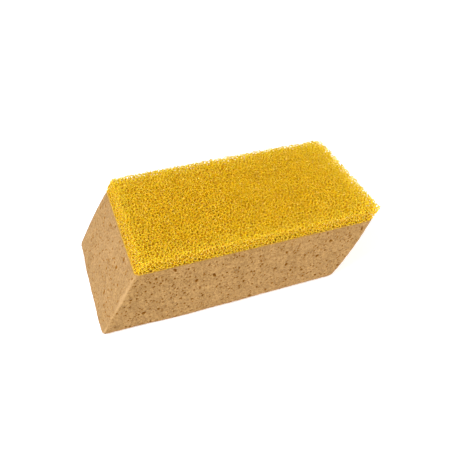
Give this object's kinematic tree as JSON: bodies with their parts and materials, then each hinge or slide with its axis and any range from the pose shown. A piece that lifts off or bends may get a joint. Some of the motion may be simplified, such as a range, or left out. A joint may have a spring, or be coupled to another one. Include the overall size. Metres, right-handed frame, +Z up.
{
  "type": "grouting sponge",
  "caption": "Slant-ended tiler's sponge block: a fine-celled washing sponge body laminated to a coarse open-cell scouring foam face.",
  "frame": {"origin": "centre of the bounding box's bottom face, on the washing face that the sponge rests on", "axes": "+X along the length, towards the side that both ends lean to; +Y across the width; +Z up, out of the scouring face"},
  "size_m": [0.2124, 0.1, 0.06],
  "materials": {
    "sponge": "matte fine-celled foam, tan",
    "adhesive": "dried clear amber adhesive",
    "scouring": "satin coarse open-cell foam, yellow"
  },
  "bodies": {
    "root": {"sponge_body": "sponge", "adhesive_film": "adhesive", "scouring_foam": "scouring"}
  },
  "joints": []
}
